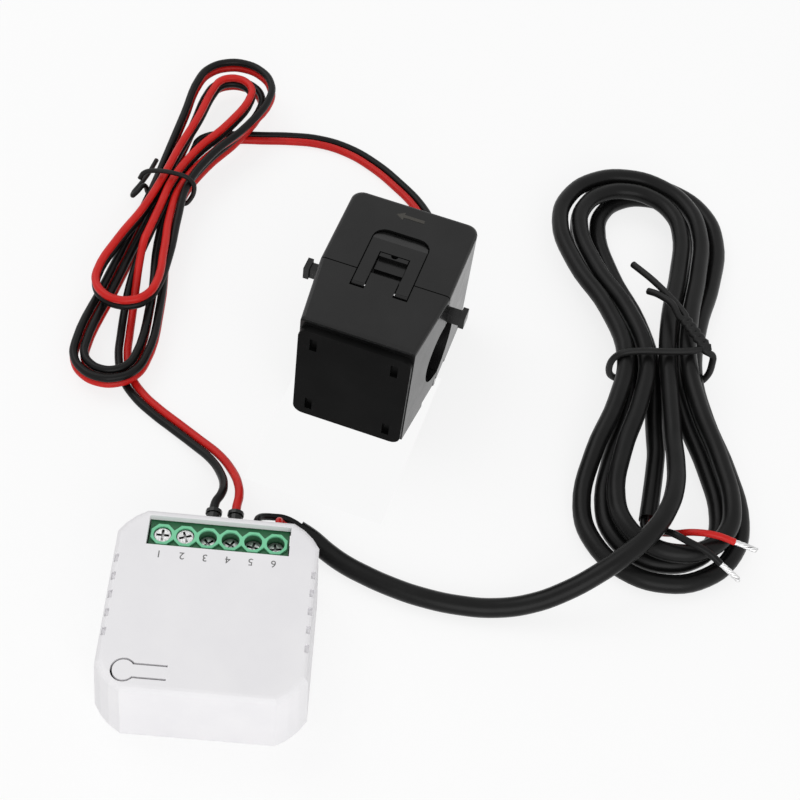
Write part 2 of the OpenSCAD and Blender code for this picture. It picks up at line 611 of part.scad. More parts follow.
// Plan of the latch: a bar beyond the catch and two legs back to the pivot
function arc(x, y, r, from) = [for (i = [0 : 4]) [x + r * cos(from + 22.5 * i), y + r * sin(from + 22.5 * i)]];
function latch_plan(grow, near) =
    let (w = latch_w / 2 + grow, far = latch_far_y + grow, r = 3 + grow,
         leg = latch_leg_x - grow, bar = latch_bar_y - grow)
        concat([[w, near]], arc(w - r, far - r, r, 0), arc(r - w, far - r, r, 90),
            [[-w, near], [-leg, near], [-leg, bar], [leg, bar], [leg, near]]);

// Room for the latch in the top faces
module latch_room() {
    translate([0, 0, clamp_h - latch_well]) linear_extrude(8) polygon(latch_plan(swing_gap, latch_pivot_y - 1.6));
}

// Both halves have the same rounding along their upper edges
fillet_steps = [for (a = [0, 30, 60, 90]) [clamp_fillet * (1 - cos(a)), clamp_h - clamp_fillet * (1 - sin(a))]];
module case_body() {
    intersection() {
        translate([0, fixed_l / 2 - clamp_corner, 0]) hull() for (f = concat([[0, eps]], fillet_steps))
            slab(rounded_rect(clamp_w - 2 * f[0], fixed_l + 2 * clamp_corner - 2 * f[0], clamp_corner - f[0] / 2),
                f[1] - eps, eps);
        block([-clamp_w, part_gap, 0], [clamp_w, 2 * fixed_l, clamp_h]);
    }
}
module jaw_body() {
    intersection() {
        hull() for (f = concat([[0, eps]], fillet_steps))
            translate([0, 0, f[1] - eps]) linear_extrude(eps) jaw_plan(f[0], 3);
        block([-clamp_w, -2 * jaw_l, 0], [clamp_w, -part_gap, clamp_h]);
    }
}

// A rib over the bore's wall that carries the core's upper leg
module core_rib() {
    block([-4, -clamp_w, bore_z], [4, clamp_w, leg_high_z - core_gap]);
}

module clamp_case() color([0.12, 0.12, 0.12]) at_clamp() difference() {
    union() {
        difference() {
            case_body();
            difference() {
                block([clamp_wall - clamp_w / 2, -1, leg_low_z - core_gap],
                    [clamp_w / 2 - clamp_wall, fixed_l - clamp_wall, leg_high_z + core_t + core_gap]);
                bore_sleeve();
                intersection() {
                    core_rib();
                    block([-clamp_w, -1, 0], [clamp_w, bore_r, clamp_h]);
                }
                for (s = [-1, 1]) block([s > 0 ? core_w / 2 + core_gap : -clamp_w, -2, 0],
                    [s > 0 ? clamp_w : -core_w / 2 - core_gap, 1.5, clamp_h]);
            }
            block([-clamp_w, -1, -1], [clamp_w, 8, hinge_relief]);
            block([-clamp_w, -1, -1], [clamp_w, hinge_nick, hinge_z + 0.5]);
            knuckles(false, knuckle_r + swing_gap, swing_gap);
            latch_room();
            translate([grommet_x - grommet_w / 2 - 0.05, fixed_l - 3, grommet_z - grommet_h / 2 - 0.05])
                cube([grommet_w + 0.1, 6, grommet_h + 0.1]);
        }
        knuckles(true, knuckle_r, 0);
        for (s = [-1, 1]) translate([s * clamp_w / 2, 2.3, tab_z]) {
            cube([6.2, 2.6, 3], center = true);
            translate([s * 3.6, 0, 0.3]) cube([1.4, 3.8, 3.6], center = true);
        }
    }
    bore_cylinder(bore_r);
    hinge_bore();
    block([-latch_leg_x, -1, clamp_h - latch_well], [latch_leg_x, 2.2, clamp_h + 1]);
    block([-latch_leg_x, -1, clamp_h - catch_step],
        [latch_leg_x, latch_bar_y - swing_gap - catch_nose, clamp_h + 1]);
    translate([0, latch_bar_y - swing_gap, clamp_h]) cylinder(d = 1.8, h = 1.6, center = true);
}

// A half core: a thin strip bent to a U, open towards the parting plane
module half_core(front, back) {
    block([-core_w / 2, min(front, back), leg_low_z], [core_w / 2, max(front, back), leg_low_z + core_t]);
    block([-core_w / 2, min(front, back), leg_high_z], [core_w / 2, max(front, back), leg_high_z + core_t]);
    block([-core_w / 2, min(back, back + sign(front - back) * core_t), leg_low_z],
        [core_w / 2, max(back, back + sign(front - back) * core_t), leg_high_z + core_t]);
}

module clamp_core() color("slategray") at_clamp() half_core(part_gap, core_back_y + core_t);

bobbin_l = 15;
bobbin_t = 0.6;
module core_sleeve(grow, l) {
    translate([0, core_back_y + core_t / 2, bore_z])
        cube([core_w + 2 * grow, core_t + 2 * grow, l], center = true);
}
module clamp_bobbin() color("ivory") at_clamp() difference() {
    union() {
        core_sleeve(core_gap + bobbin_t, bobbin_l);
        for (s = [-1, 1]) translate([0, 0, s * (bobbin_l + bobbin_t) / 2]) core_sleeve(core_gap + 1.3, bobbin_t);
    }
    core_sleeve(core_gap, 2 * bobbin_l);
}
module clamp_winding() color("peru") at_clamp() difference() {
    core_sleeve(core_gap + 1.2, bobbin_l - 0.1);
    core_sleeve(core_gap + bobbin_t + 0.05, 2 * bobbin_l);
}

module lead_grommet() color([0.1, 0.1, 0.1]) at_clamp() translate([grommet_x, fixed_l, grommet_z]) difference() {
    union() {
        translate([-grommet_w / 2, -clamp_wall + 0.1, -grommet_h / 2])
            cube([grommet_w, clamp_wall + grommet_out - 0.1, grommet_h]);
    }
    for (s = [-1, 1]) translate([s * lead_pair / 2, lead_in - 0.05, 0]) rotate([-90, 0, 0])
        cylinder(d = lead_d + 0.2, h = 10, $fn = 12);
}

module hinge_pins() color("lightgray") at_clamp() for (s = [-1, 1])
    translate([s * (clamp_w / 2 - knuckle_w - 0.2), 0, hinge_z]) rotate([0, 90, 0])
        cylinder(d = pin_d, h = 2 * knuckle_w + 0.2, center = true);

module jaw_case() color([0.12, 0.12, 0.12]) at_clamp() difference() {
    union() {
        difference() {
            jaw_body();
            difference() {
                translate([0, 0, leg_low_z - core_gap])
                    linear_extrude(leg_high_z + core_t - leg_low_z + 2 * core_gap) union() {
                        jaw_plan(clamp_wall, 1);
                        polygon([[-jaw_end_w / 2 + 2, -jaw_l - 1], [jaw_end_w / 2 - 2, -jaw_l - 1],
                            [jaw_end_w / 2 - 2, 1 - jaw_l - clamp_wall + 2], [2 - jaw_end_w / 2, 3 - jaw_l - clamp_wall]]);
                    }
                bore_sleeve();
                intersection() {
                    core_rib();
                    block([-clamp_w, -bore_r, 0], [clamp_w, 1, clamp_h]);
                }
                for (s = [-1, 1]) block([s > 0 ? core_w / 2 + core_gap : -clamp_w, -1.5, 0],
                    [s > 0 ? clamp_w : -core_w / 2 - core_gap, 2, clamp_h]);
            }
            block([-clamp_w, -8, -1], [clamp_w, 1, hinge_relief]);
            block([-clamp_w, -hinge_nick, -1], [clamp_w, 1, hinge_z + 0.5]);
            knuckles(true, knuckle_r + swing_gap, swing_gap);
            latch_room();
        }
        knuckles(false, knuckle_r, 0);
    }
    bore_cylinder(bore_r);
    hinge_bore();
    latch_pin_bores();
}
module latch_pin_bores() {
    for (s = [-1, 1]) translate([s * 4.5, latch_pivot_y, latch_pivot_z]) rotate([0, 90, 0])
        cylinder(d = latch_pin_d + 2 * run_gap, h = 4.3, center = true);
}

cap_h = clamp_h - 2.2;
window_grid = [0.72, 0.717];
module jaw_cap() color([0.1, 0.1, 0.1]) at_clamp() difference() {
    translate([0, -jaw_l - 0.05, cap_h / 2 + 0.1]) rotate([90, 0, 0]) linear_extrude(cap_t - 0.1)
        polygon(rounded_rect(jaw_end_w, cap_h, 2.5));
    for (x = [-1, 1], z = [-1, 1])
        translate([x * jaw_end_w / 2 * window_grid[0], -jaw_l - cap_t, cap_h / 2 * (1 + z * window_grid[1])])
            cube([1.8, 2.2, 4], center = true);
}

module jaw_core() color("slategray") at_clamp() half_core(-part_gap, core_front_y - core_t);

module jaw_core_spring() color("lightsteelblue") at_clamp() {
    back = core_front_y - core_t - 0.1;
    block([-6, -jaw_l + 0.1, bore_z - 7], [6, 0.5 - jaw_l, bore_z + 7]);
    for (s = [-1, 1]) block([-6, -jaw_l + 0.1, bore_z + s * 6 - 1], [6, back, bore_z + s * 6 + 1]);
}

// The latch turns on the jaw and its bar drops behind the catch on the fixed half
module latch() color([0.14, 0.14, 0.14]) at_clamp() difference() {
    union() {
        translate([0, 0, clamp_h - latch_t]) linear_extrude(latch_t) polygon(latch_plan(0, latch_pivot_y));
        for (s = [-1, 1]) translate([s * (latch_leg_x + latch_w / 2) / 2, latch_pivot_y, latch_pivot_z])
            rotate([0, 90, 0]) cylinder(r = latch_barrel_r, h = latch_w / 2 - latch_leg_x, center = true);
    }
    translate([-latch_w, 0, clamp_h]) rotate([90, 0, 90]) linear_extrude(2 * latch_w)
        polygon([[latch_far_y - 3.4, 0], [latch_far_y + 1, -1], [latch_far_y + 1, 1], [latch_far_y - 3.4, 1]]);
    latch_pin_bores();
}

module latch_pins() color("lightgray") at_clamp() for (s = [-1, 1])
    translate([s * 4.5, latch_pivot_y, latch_pivot_z]) rotate([0, 90, 0])
        cylinder(d = latch_pin_d, h = 4.2, center = true);

wired = [for (i = [wired_from : terminals - 1]) i];
collar_y = nose_far_y + 0.3;
function is_supply(i) = i >= terminals - 2;
module ferrule_collars() color("black") for (i = wired) translate([terminal_x(i), collar_y, wire_z])
    rotate([-90, 0, 0]) difference() {
        l = is_supply(i) ? short_collar_l : collar_l;
        union() {
            cylinder(d = collar_d, h = l, $fn = 12);
            if (!is_supply(i)) translate([0, 0, l - 0.9]) cylinder(d = collar_d + 0.6, h = 0.9, $fn = 12);
        }
        translate([0, 0, is_supply(i) ? 1 : 2.6]) cylinder(d = lead_d + 0.2, h = l, $fn = 12);
    }

module ferrule_pins() color("silver") for (i = wired)
    translate([terminal_x(i), window_y - 1.5, wire_z]) rotate([-90, 0, 0])
        cylinder(d = wire_d, h = collar_y - window_y + 1.5, $fn = 12);

module lead_red_feed() color("red") tube(pair_path(lead_feed_rows, red), lead_d, 8);
module lead_black_feed() color("black") tube(pair_path(lead_feed_rows, black), lead_d, 8);
module lead_red_hank() color("red") tube(pair_path(lead_hank_pairs, red), lead_d, 6);
module lead_black_hank() color("black") tube(pair_path(lead_hank_pairs, black), lead_d, 6);
module lead_red_tail() color("red") tube(pair_path(lead_tail_rows, red), lead_d, 8);
module lead_black_tail() color("black") tube(pair_path(lead_tail_rows, black), lead_d, 8);

// A flat band round a hank's waist, from its low corner to its high corner
module tie_band(low, high, t, w) {
    size = high - low;
    translate([(low[0] + high[0]) / 2, w / 2, (low[1] + high[1]) / 2]) rotate([90, 0, 0]) linear_extrude(w)
        difference() {
            polygon(rounded_rect(size[0] + 2 * t, size[1] + 2 * t, size[1] / 3));
            polygon(rounded_rect(size[0], size[1], size[1] / 3 - t));
        }
}

lead_waist_low = [min(lead_waists) - lead_pair / 2 - lead_d / 2 - tie_gap,
    lead_z + lead_lift - lead_pair / 2 - lead_d / 2 - tie_gap];
lead_waist_high = [max(lead_waists) + lead_d / 2 + tie_gap,
    lead_z + lead_lift + lead_layer + lead_pair / 2 + lead_d / 2 + tie_gap];
lead_tie_tail = [[6.1, 0, 6], [7.2, 3.4, 5.4], [8.4, 4.6, 4.4], [8.9, 2.4, 3.6], [8.4, -2.2, 2.8],
    [7.9, -7.5, 2.2], [7.7, -13, 1.8]];
module lead_tie() color([0.1, 0.1, 0.1]) translate(lead_hank_place) rotate([0, 0, lead_hank_turn]) {
    tie_band(lead_waist_low, lead_waist_high, lead_tie_d, 2);
    tube(lead_tie_tail, lead_tie_d, 6);
}

// Where a core meets the end of a jacket: beside the jacket's axis, and straight out from it
function at_jacket(end, inward, side, out) =
    let (t = unit(inward - end))
        end - out * t + side * 0.95 * side_of(t);
function core_in(route, side) = concat(route,
    [for (out = [core_d, 0]) at_jacket(cable_feed_route[0], cable_feed_route[1], side, out)]);
function core_out(route, side) =
    let (last = len(cable_end_points) - 1)
        concat([for (out = [0, core_d])
            at_jacket(cable_end_points[last], cable_end_points[last - 1], side, out)], route);
module core_red_in() color("red") tube(core_in(core_in_b, 1), core_d, 8);
module core_black_in() color("black") tube(core_in(core_in_a, -1), core_d, 8);

module cable_feed() color([0.08, 0.08, 0.08]) tube(cable_feed_points, cable_d, 10);
module cable_hank() color([0.08, 0.08, 0.08]) tube(cable_hank_points, cable_d, 6);
module cable_end() color([0.08, 0.08, 0.08]) tube(cable_end_points, cable_d, 10);

module core_red_out() color("red") tube(core_out(core_out_a, 1), core_d, 8);
module core_black_out() color("black") tube(core_out(core_out_b, -1), core_d, 8);
module tinned_tips() color("silver") for (route = [core_out_a, core_out_b]) {
    end = route[len(route) - 1];
    tube([end, beyond(end, route[len(route) - 2], tip_l)], core_d * 0.75, 8);
}

cable_waist_low = [-1.75 * cable_step - cable_d / 2 - tie_gap, cable_z + cable_lift - cable_d / 2 - tie_gap];
cable_waist_high = [1.75 * cable_step + cable_d / 2 + tie_gap,
    cable_z + cable_lift + cable_layer + cable_d / 2 + tie_gap];
cable_tie_tails = [
    [[10, 0, 12.6], [8, 5, 13.6], [3, 12, 14], [-1, 20, 13.6], [-7, 29, 12.6]],
    [[6, 0, 12.6], [3.6, 6, 15.4], [0, 13, 15.8], [-3, 18, 15.4], [-5.6, 21, 15]]];
module cable_tie() color([0.1, 0.1, 0.1]) translate(cable_hank_place) rotate([0, 0, cable_hank_turn]) {
    tie_band(cable_waist_low, cable_waist_high, cable_tie_d, 2.4);
    for (tail = cable_tie_tails) tube(tail, cable_tie_d, 6);
}

front_cover();
rear_cover();
button_tongue();
main_board();
tact_switch();
tact_plunger();
terminal_block();
terminal_cages();
terminal_screw(0);  // terminal_screw_1
terminal_screw(1);  // terminal_screw_2
terminal_screw(2);  // terminal_screw_3
terminal_screw(3);  // terminal_screw_4
terminal_screw(4);  // terminal_screw_5
terminal_screw(5);  // terminal_screw_6
pressure_plate(0);  // pressure_plate_1
pressure_plate(1);  // pressure_plate_2
pressure_plate(2);  // pressure_plate_3
pressure_plate(3);  // pressure_plate_4
pressure_plate(4);  // pressure_plate_5
pressure_plate(5);  // pressure_plate_6
radio_module();
power_transformer();
bulk_capacitors();
fuse_resistor();
varistor();
metering_chips();
clamp_case();
clamp_core();
clamp_bobbin();
clamp_winding();
lead_grommet();
hinge_pins();
jaw_case();
jaw_cap();
jaw_core();
jaw_core_spring();
latch();
latch_pins();
ferrule_collars();
ferrule_pins();
lead_red_feed();
lead_black_feed();
lead_red_hank();
lead_black_hank();
lead_red_tail();
lead_black_tail();
lead_tie();
core_red_in();
core_black_in();
cable_feed();
cable_hank();
cable_end();
core_red_out();
core_black_out();
tinned_tips();
cable_tie();
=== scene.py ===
import json
import math

import bmesh
import bpy
import numpy as np
from mathutils import Matrix, Vector


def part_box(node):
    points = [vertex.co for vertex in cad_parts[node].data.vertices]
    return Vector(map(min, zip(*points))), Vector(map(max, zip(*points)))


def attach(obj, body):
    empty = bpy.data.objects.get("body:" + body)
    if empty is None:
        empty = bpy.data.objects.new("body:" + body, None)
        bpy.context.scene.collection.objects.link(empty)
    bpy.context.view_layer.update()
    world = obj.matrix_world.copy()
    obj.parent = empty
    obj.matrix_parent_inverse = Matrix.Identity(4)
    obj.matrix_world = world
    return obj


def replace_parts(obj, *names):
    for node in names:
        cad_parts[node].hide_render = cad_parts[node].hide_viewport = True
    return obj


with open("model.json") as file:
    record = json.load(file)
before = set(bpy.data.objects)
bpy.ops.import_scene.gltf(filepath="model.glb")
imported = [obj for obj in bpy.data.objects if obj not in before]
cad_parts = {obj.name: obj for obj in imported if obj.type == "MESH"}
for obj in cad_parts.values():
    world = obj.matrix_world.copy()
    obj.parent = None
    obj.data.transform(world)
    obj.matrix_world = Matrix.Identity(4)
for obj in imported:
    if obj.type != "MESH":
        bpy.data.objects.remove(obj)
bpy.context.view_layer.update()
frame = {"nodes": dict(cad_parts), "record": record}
scene = bpy.context.scene
MM = 0.001

# Camera, fitted to the module and the clamp
CAMERA_AT = Vector((0.01904, -0.17101, 0.32069))
LOOK = Vector((0.0502, 0.6054, -0.7943)).normalized()
ROLL = math.radians(9.22)
LENS, SENSOR, CLIP_START = 72, 36, 0.01
right = LOOK.cross(Vector((0, 0, 1))).normalized()
up = right.cross(LOOK)
cam_x = right * math.cos(ROLL) + up * math.sin(ROLL)
cam_y = up * math.cos(ROLL) - right * math.sin(ROLL)
camera_data = bpy.data.cameras.new("camera")
camera_data.lens = LENS
camera_data.sensor_width = SENSOR
camera_data.clip_start = CLIP_START
camera = bpy.data.objects.new("camera", camera_data)
camera.matrix_world = Matrix((
    (cam_x.x, cam_y.x, -LOOK.x, CAMERA_AT.x),
    (cam_x.y, cam_y.y, -LOOK.y, CAMERA_AT.y),
    (cam_x.z, cam_y.z, -LOOK.z, CAMERA_AT.z),
    (0, 0, 0, 1)))
scene.collection.objects.link(camera)
scene.camera = camera
scene.view_settings.view_transform = "Standard"


# Materials

BUMP_DEPTH = 0.1 * MM


def grey(v):
    return (v, v, v)


def new_material(name):
    mat = bpy.data.materials.new(name)
    mat.use_nodes = True
    nodes = mat.node_tree.nodes
    return mat, nodes, mat.node_tree.links, nodes["Principled BSDF"]


def noise(nodes, links, scale, detail=3.0):
    coords = nodes.new("ShaderNodeTexCoord")
    tex = nodes.new("ShaderNodeTexNoise")
    tex.inputs["Scale"].default_value = scale
    tex.inputs["Detail"].default_value = detail
    links.new(coords.outputs["Object"], tex.inputs["Vector"])
    return tex.outputs["Fac"]


def ramp(nodes, links, fac, low, high, start=0.3, end=0.7):
    node = nodes.new("ShaderNodeValToRGB")
    node.color_ramp.elements[0].position = start
    node.color_ramp.elements[1].position = end
    node.color_ramp.elements[0].color = (*low, 1)
    node.color_ramp.elements[1].color = (*high, 1)
    links.new(fac, node.inputs["Fac"])
    return node.outputs["Color"]


def moulded(name, low, high, rough, grain, strength, patch=90, metallic=0.0, specular=0.5):
    """Moulded or drawn material: broad colour drift, uneven gloss and a fine surface grain."""
    mat, nodes, links, shader = new_material(name)
    links.new(ramp(nodes, links, noise(nodes, links, patch), low, high), shader.inputs["Base Color"])
    spread = nodes.new("ShaderNodeMapRange")
    spread.inputs["To Min"].default_value = rough[0]
    spread.inputs["To Max"].default_value = rough[1]
    links.new(noise(nodes, links, patch * 3), spread.inputs["Value"])
    links.new(spread.outputs["Result"], shader.inputs["Roughness"])
    bump = nodes.new("ShaderNodeBump")
    bump.inputs["Strength"].default_value = strength
    bump.inputs["Distance"].default_value = BUMP_DEPTH
    links.new(noise(nodes, links, grain, 2.0), bump.inputs["Height"])
    links.new(bump.outputs["Normal"], shader.inputs["Normal"])
    shader.inputs["Metallic"].default_value = metallic
    shader.inputs["Specular IOR Level"].default_value = specular
    return mat


def multiply_colour(nodes, links, tint):
    mixer = nodes.new("ShaderNodeMix")
    mixer.data_type = "RGBA"
    mixer.blend_type = "MULTIPLY"
    mixer.inputs["Factor"].default_value = 1
    shader = nodes["Principled BSDF"]
    links.new(shader.inputs["Base Color"].links[0].from_socket, mixer.inputs["A"])
    links.new(tint, mixer.inputs["B"])
    links.new(mixer.outputs["Result"], shader.inputs["Base Color"])


def shaded_hollows(material, distance, dark):
    """Paints shade into corners and recesses: darkens the colour wherever ambient occlusion finds them."""
    nodes, links = material.node_tree.nodes, material.node_tree.links
    hollow = nodes.new("ShaderNodeAmbientOcclusion")
    hollow.samples = 8
    hollow.inputs["Distance"].default_value = distance
    tint = ramp(nodes, links, hollow.outputs["AO"], grey(dark), grey(1), 0.25, 0.85)
    multiply_colour(nodes, links, tint)


def by_height(material, level, blend, low, high):
    """Colours a moulded material by its height in the part: darker below the level, partly as a darker
    plastic and partly as painted shade in the recesses.
    """
    nodes, links = material.node_tree.nodes, material.node_tree.links
    coords = nodes.new("ShaderNodeTexCoord")
    split = nodes.new("ShaderNodeSeparateXYZ")
    links.new(coords.outputs["Object"], split.inputs["Vector"])
    spread = nodes.new("ShaderNodeMapRange")
    spread.inputs["From Min"].default_value = level - blend
    spread.inputs["From Max"].default_value = level + blend
    links.new(split.outputs["Z"], spread.inputs["Value"])
    tint = ramp(nodes, links, spread.outputs["Result"], low, high, 0, 1)
    multiply_colour(nodes, links, tint)


WHITE = moulded(
    "white_plastic", (0.80, 0.79, 0.81), (0.835, 0.825, 0.84), (0.40, 0.52), 4200, 0.10, specular=0.35)
GREEN = moulded(
    "green_plastic", (0.17, 0.57, 0.32), (0.20, 0.63, 0.37), (0.35, 0.5), 2600, 0.10, specular=0.4)
BLOCK_SHOULDER, SHOULDER_BLEND = 17.1 * MM, 0.15 * MM
# the terminal block is darker below its shoulder: painted shade in its recesses, and partly a darker plastic
by_height(GREEN, BLOCK_SHOULDER, SHOULDER_BLEND, (0.16, 0.24, 0.18), grey(1))
CHROME = moulded("screw_steel", grey(0.42), grey(0.56), (0.22, 0.36), 1800, 0.5, 700, 1.0)
# painted shade in the screws' slots and recesses
shaded_hollows(CHROME, 1.2 * MM, 0.06)
TINNED = moulded("tinned_metal", grey(0.58), grey(0.78), (0.22, 0.36), 2400, 0.25, 500, 1.0)
BOARD = moulded("board_laminate", (0.02, 0.14, 0.05), (0.03, 0.20, 0.08), (0.3, 0.45), 1500, 0.2)
PART = moulded("part_plastic", grey(0.012), grey(0.03), (0.35, 0.55), 1800, 0.2)
BLACK = moulded("black_plastic", grey(0.0035), grey(0.007), (0.20, 0.30), 2200, 0.06, specular=0.28)
BLACK_FACE = moulded("black_face", grey(0.0035), grey(0.006), (0.26, 0.36), 2600, 0.10, specular=0.03)
CORE = moulded("core_metal", grey(0.12), grey(0.2), (0.35, 0.5), 1200, 0.3, 200, 1.0)
COPPER = moulded("copper_wire", (0.45, 0.17, 0.06), (0.62, 0.28, 0.12), (0.2, 0.35), 2600, 0.6, 300, 1.0)
IVORY = moulded("ivory_plastic", (0.6, 0.52, 0.32), (0.7, 0.62, 0.42), (0.4, 0.55), 1600, 0.2)
SHEATH = moulded(
    "black_sheath", grey(0.0035), grey(0.0065), (0.30, 0.40), 1500, 0.12, 160, specular=0.15)
RED = moulded(
    "red_sheath", (0.52, 0.010, 0.008), (0.60, 0.016, 0.012), (0.32, 0.42), 1600, 0.12, 160, specular=0.22)
TIE = moulded("tie_sheath", grey(0.005), grey(0.011), (0.42, 0.55), 1900, 0.3, 220, specular=0.2)
INK = moulded("grey_ink", grey(0.14), grey(0.19), (0.5, 0.6), 2600, 0.1, specular=0.2)
ETCHED = moulded(
    "etched_mark", (0.045, 0.043, 0.038), (0.058, 0.055, 0.049), (0.5, 0.6), 2600, 0.3, specular=0.2)
BY_SLOT = {
    "white_plastic": WHITE, "green_plastic": GREEN, "screw_steel": CHROME, "tinned_metal": TINNED,
    "board_laminate": BOARD, "part_plastic": PART, "black_plastic": BLACK, "core_metal": CORE,
    "copper_wire": COPPER, "ivory_plastic": IVORY, "black_sheath": SHEATH, "red_sheath": RED}


# Cords: the routes of the part, in its own millimetres

def unit(v):
    return v / np.linalg.norm(v)


def tangents(p):
    return [unit(p[min(i + 1, len(p) - 1)] - p[max(i - 1, 0)]) for i in range(len(p))]


def side_of(t):
    return unit(np.cross(t, (0, 0, 1)))


def ease(f):
    return (1 - math.cos(math.pi * f)) / 2


def mix(a, b, f):
    return a + (b - a) * f


RUN_STEPS, ARC_STEPS, HANK_TAIL = 3, 6, 20.0


class Hank:
    """Half turns round the far and near end of a hank, drawn in at the waist."""

    side = -1

    def __init__(self, waists, step, far_r, far_reach, near_r, near_reach, steps, layers, leans,
                 shorts, rolls, base, layer, lift, lobe_lift, place, turn):
        self.waists, self.step, self.steps = [step * k for k in waists], step, steps
        self.radius, self.reach = (far_r, near_r), (far_reach, near_reach)
        self.layers, self.leans, self.shorts, self.rolls = layers, leans, shorts, rolls
        self.base, self.layer, self.lift, self.lobe_lift = base, layer, lift, lobe_lift
        self.place, self.turn = place, math.radians(turn)

    def row(self, j, i):
        near = j % 2
        way = -1 if near else 1
        side = self.side * way
        k = self.steps[j]
        r = self.radius[near] - k * self.step
        along = self.reach[near] - k * self.step - self.shorts[j] - r
        out = i < RUN_STEPS
        arc = not out and i <= RUN_STEPS + ARC_STEPS
        f = i / RUN_STEPS if out else 1 if arc else (2 * RUN_STEPS + ARC_STEPS - i) / RUN_STEPS
        a = math.pi * (i - RUN_STEPS) / ARC_STEPS
        if arc:
            across = side * r * math.cos(a) + self.leans[j]
        else:
            waist = self.waists[j if out else j + 1]
            across = mix(waist, (side if out else -side) * r + self.leans[j], ease(f))
        first, middle, last = self.layers[j]
        level = mix(first, middle, f) if out else middle if arc else mix(last, middle, f * f)
        rolls = self.rolls
        after = rolls[min(j + 1, len(rolls) - 1)]
        roll = rolls[j] if out or arc else mix(mix(rolls[j], after, 1 / 3), rolls[j], f)
        if j and out:
            roll = mix(mix(rolls[j - 1], rolls[j], 1 / 3), rolls[j], f)
        lift = self.lift * (1 - ease(f)) + self.lobe_lift * ease(f)
        return (across, way * (along + r * math.sin(a) if arc else along * f),
                self.base + level * self.layer + lift, roll)

    def rows(self):
        n = len(self.steps)
        turn = 2 * RUN_STEPS + ARC_STEPS
        way = 1 if n % 2 == 0 else -1
        first, last = self.waists[0], self.waists[-1]
        low = self.base + self.layers[0][0] * self.layer
        high = self.base + self.layers[-1][2] * self.layer + self.lift
        start = [(first, -HANK_TAIL, low, self.rolls[0]), (first, -HANK_TAIL * 0.8, low, self.rolls[0]),
                 (first, -HANK_TAIL / 2, low + self.lift / 2, self.rolls[0])]
        loops = [self.row(j, i) for j in range(n) for i in range(turn)] + [self.row(n - 1, turn)]
        end = [(last, way * HANK_TAIL * f, high, self.rolls[-1]) for f in (0.5, 0.8, 1)]
        c, s = math.cos(self.turn), math.sin(self.turn)
        return [(self.place[0] + x * c - y * s, self.place[1] + x * s + y * c, z, roll)
                for x, y, z, roll in start + loops + end]


LEAD_D, LEAD_PAIR, CABLE_D, CORE_D, CORE_OFF = 2.1, 2.2, 4.6, 1.7, 0.95
LEAD_STEP, CABLE_STEP = 2.6, 5.4
WIRE_Z = 9.9
CLAMP_AT, CLAMP_TURN = (32.0, 84.0), math.radians(-16)
lead_hank = Hank(
    waists=[-0.46, 0.58, -1.5, 1.62, -1.77, 0.54, -0.5], step=LEAD_STEP,
    far_r=9, far_reach=66, near_r=10.5, near_reach=50, steps=[1, 1, 0, 0, 0.5, 2],
    layers=[(0, 0, 0), (0, 0, 0), (0, 0, 0), (0, 1, 1), (1, 1, 1), (1, 1, 1)],
    leans=[-4.2, -6.5, -4.2, -6.5, -1.5, -6.5], shorts=[0, 0, 0, 0, 20, 1.5],
    rolls=[90, 90, 90, 90, 270, 270], base=LEAD_PAIR / 2 + 1, layer=2 * LEAD_PAIR + 0.2,
    lift=1.7, lobe_lift=2.4, place=(-27, 133), turn=169)
cable_hank = Hank(
    waists=[-0.25, 0.75, -1.25, 1.75, -1.75, 1.25, -0.75, 0.25], step=CABLE_STEP,
    far_r=22, far_reach=72, near_r=19.5, near_reach=62, steps=[1.5, 1, 0.5, 0, 0.5, 1, 1.5],
    layers=[(0, 0, 0), (0, 0, 0), (0, 0, 0), (0, 0, 1), (1, 1, 1), (1, 1, 1), (1, 1, 1)],
    leans=[0, -1, 0, -1, -6, 1, -6], shorts=[0, 0, 0, 0, 3, 0, 3], rolls=[0] * 7,
    base=CABLE_D / 2 + 0.1, layer=CABLE_D + 0.6, lift=1.9, lobe_lift=0, place=(105, 87), turn=0)
LEAD_FEED = [
    (-31, 105, 6.2, 1.1, 300), (-31.5, 98.5, 4.2, 1.1, 330), (-31.6, 92, 2.4, 1.1, 350),
    (-31.5, 85, 1.2, 1.1, 360), (-31, 78, 1, 1.1, 360), (-29, 71.5, 1, 1.1, 360),
    (-25.5, 66.5, 1, 1.1, 360), (-20.5, 62, 1, 1.1, 360), (-15, 57.8, 1.2, 1.1, 360),
    (-9.6, 53.3, 2, 1.1, 360), (-4.6, 48.5, 3.4, 1.2, 360), (-1.2, 43, 5.4, 1.4, 360),
    (0.4, 38, 7.6, 1.7, 360), (0.6, 34, 9.2, 2.1, 360), (0, 31, WIRE_Z, 2.5, 360), (0, 26, WIRE_Z, 2.5, 360)]
LEAD_TAIL = [
    (44.6, 123.5, 5, 1.1, 0), (44.4, 132, 2.4, 1.1, 0), (41, 140.6, 1.2, 1.1, 0), (35, 148, 1, 1.1, 0),
    (28, 154.6, 1, 1.1, 0), (20, 159.6, 1, 1.1, 0), (12, 161.8, 1, 1.1, 0), (4, 161.8, 1, 1.1, 0),
    (-4, 160.9, 1, 1.1, 0), (-10.5, 160.2, 1, 1.1, 0), (-15.5, 159.2, 1.1, 1.1, 15),
    (-18.8, 157.4, 1.6, 1.1, 50)]
CABLE_FEED = [
    (17, 29.4, 4.4), (20.4, 27.8, 3.5), (24, 25.3, 2.7), (28.2, 22.6, 2.4), (33, 20.2, 2.4),
    (39.5, 17.6, 2.4), (46.5, 15.6, 2.4), (55.5, 14.3, 2.4), (64, 14.3, 2.7), (72, 15.4, 4.4),
    (79.5, 17.7, 7.4), (86.5, 21.2, 10.6), (93, 26, 12.6), (98.8, 32, 13.2), (103, 39, 13),
    (105.4, 46.5, 12), (106.3, 54.5, 10.6)]
CABLE_END = [(103.2, 58.5, 2.4), (101.8, 49.5, 2.6), (100.5, 42, 3)]
